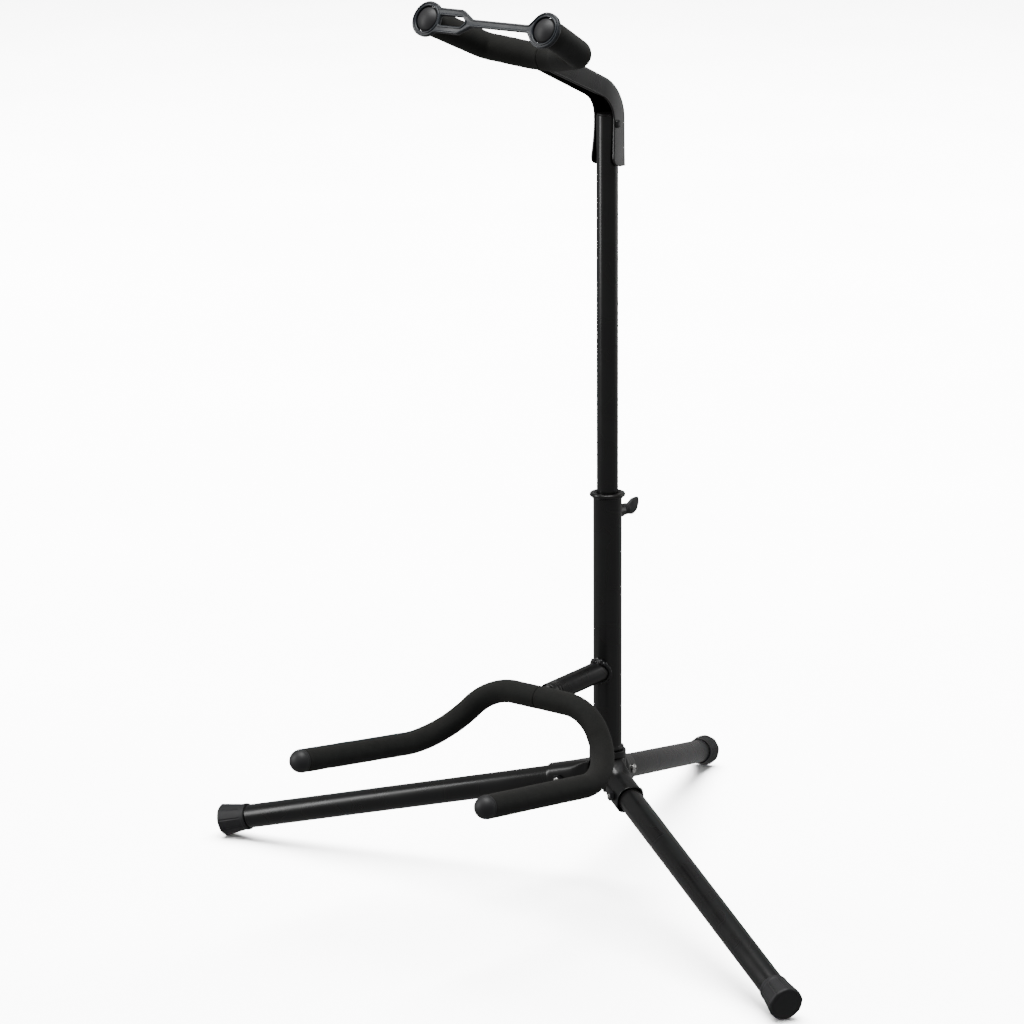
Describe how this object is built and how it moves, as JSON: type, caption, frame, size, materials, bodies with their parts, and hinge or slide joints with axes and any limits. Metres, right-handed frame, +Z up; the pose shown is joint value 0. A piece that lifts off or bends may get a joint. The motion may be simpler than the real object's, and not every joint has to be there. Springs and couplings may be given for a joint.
{
  "type": "guitar floor stand",
  "caption": "Black tubular floor stand for a guitar: swivelling legs, sliding mast, foam-padded cradle for the body and a padded neck yoke with a rubber retaining strap.",
  "frame": {"origin": "middle of the part's box, on the floor plane that the feet stand on", "axes": "+Z up along the column, -Y towards the front where the guitar rests, +X to the right as seen from the front of the cradle"},
  "size_m": [0.7198, 0.6536, 0.8022],
  "materials": {
    "powder_coat": "satin charcoal-black powder coat",
    "foam": "matte black closed-cell foam sleeve",
    "black_rubber": "matte black moulded rubber",
    "strap_rubber": "semi-gloss blue-grey moulded rubber",
    "black_nylon": "moulded black nylon",
    "zinc_plate": "bright zinc-plated steel",
    "black_steel": "blackened steel nut"
  },
  "bodies": {
    "column": {"column": "powder_coat", "hub_cap": "black_nylon", "top_bush": "black_nylon", "clamp_boss": "powder_coat", "cradle_stem": "powder_coat", "stem_weld": "powder_coat", "stem_plug": "powder_coat", "cradle_rod": "powder_coat", "cradle_foam_left": "foam", "cradle_foam_right": "foam", "cradle_cap_left": "black_rubber", "cradle_cap_right": "black_rubber"},
    "leg_left": {"leg_ring_left": "powder_coat", "leg_bracket_left": "powder_coat", "leg_tube_left": "powder_coat", "leg_bolt_left": "zinc_plate", "leg_nut_left": "black_steel", "foot_cap_left": "black_rubber"},
    "leg_right": {"leg_ring_right": "powder_coat", "leg_bracket_right": "powder_coat", "leg_tube_right": "powder_coat", "leg_bolt_right": "zinc_plate", "leg_nut_right": "black_steel", "foot_cap_right": "black_rubber"},
    "leg_back": {"leg_ring_back": "powder_coat", "leg_bracket_back": "powder_coat", "leg_tube_back": "powder_coat", "leg_bolt_back": "zinc_plate", "leg_nut_back": "black_steel", "foot_cap_back": "black_rubber"},
    "mast_foot": {"mast_foot": "black_nylon"},
    "mast": {"mast": "powder_coat", "mast_plug": "black_nylon", "neck_arm": "powder_coat", "neck_rivet": "powder_coat", "yoke_rod": "powder_coat", "yoke_foam_left": "foam", "yoke_foam_right": "foam", "yoke_button_left": "strap_rubber", "yoke_button_right": "strap_rubber", "strap_anchor": "strap_rubber"},
    "thumb_screw": {"thumb_screw": "black_nylon"},
    "clamp_pad": {"clamp_pad": "black_nylon"},
    "strap": {"strap": "strap_rubber"}
  },
  "joints": [
    {"name": "leg_left_swivel", "type": "hinge", "parent": "column", "child": "leg_left", "pos_m": [0.01382, -0.02957, 0.10602], "axis": [0, 0, 1], "range_deg": [-13, 39]},
    {"name": "leg_right_swivel", "type": "hinge", "parent": "column", "child": "leg_right", "pos_m": [0.01382, -0.02957, 0.10602], "axis": [0, 0, 1], "range_deg": [-38, 43]},
    {"name": "leg_back_swivel", "type": "hinge", "parent": "column", "child": "leg_back", "pos_m": [0.01382, -0.02957, 0.10602], "axis": [0, 0, 1], "range_deg": [-43, 12]},
    {"name": "mast_slide", "type": "slide", "parent": "column", "child": "mast_foot", "axis": [0, 0, 1], "range_m": [-0.115, 0.07]},
    {"name": "mast_turn", "type": "hinge", "parent": "mast_foot", "child": "mast", "pos_m": [0.01382, -0.02957, 0.36072], "axis": [0, 0, 1], "continuous": true},
    {"name": "thumb_screw_turn", "type": "hinge", "parent": "column", "child": "thumb_screw", "pos_m": [0.01382, -0.02957, 0.34072], "axis": [0, 1, 0], "range_deg": [0, 250]},
    {"name": "clamp_pad_slide", "type": "slide", "parent": "column", "child": "clamp_pad", "axis": [0, 1, 0], "range_m": [0, 0.0007]},
    {"name": "strap_swing", "type": "hinge", "parent": "mast", "child": "strap", "pos_m": [0.05382, -0.18909, 0.78714], "axis": [0, 0.4147, 0.91], "range_deg": [0, 88]}
  ],
  "couplings": [
    {"joint": "clamp_pad_slide", "follows": "thumb_screw_turn", "m_per_rad": 0.00015915}
  ]
}
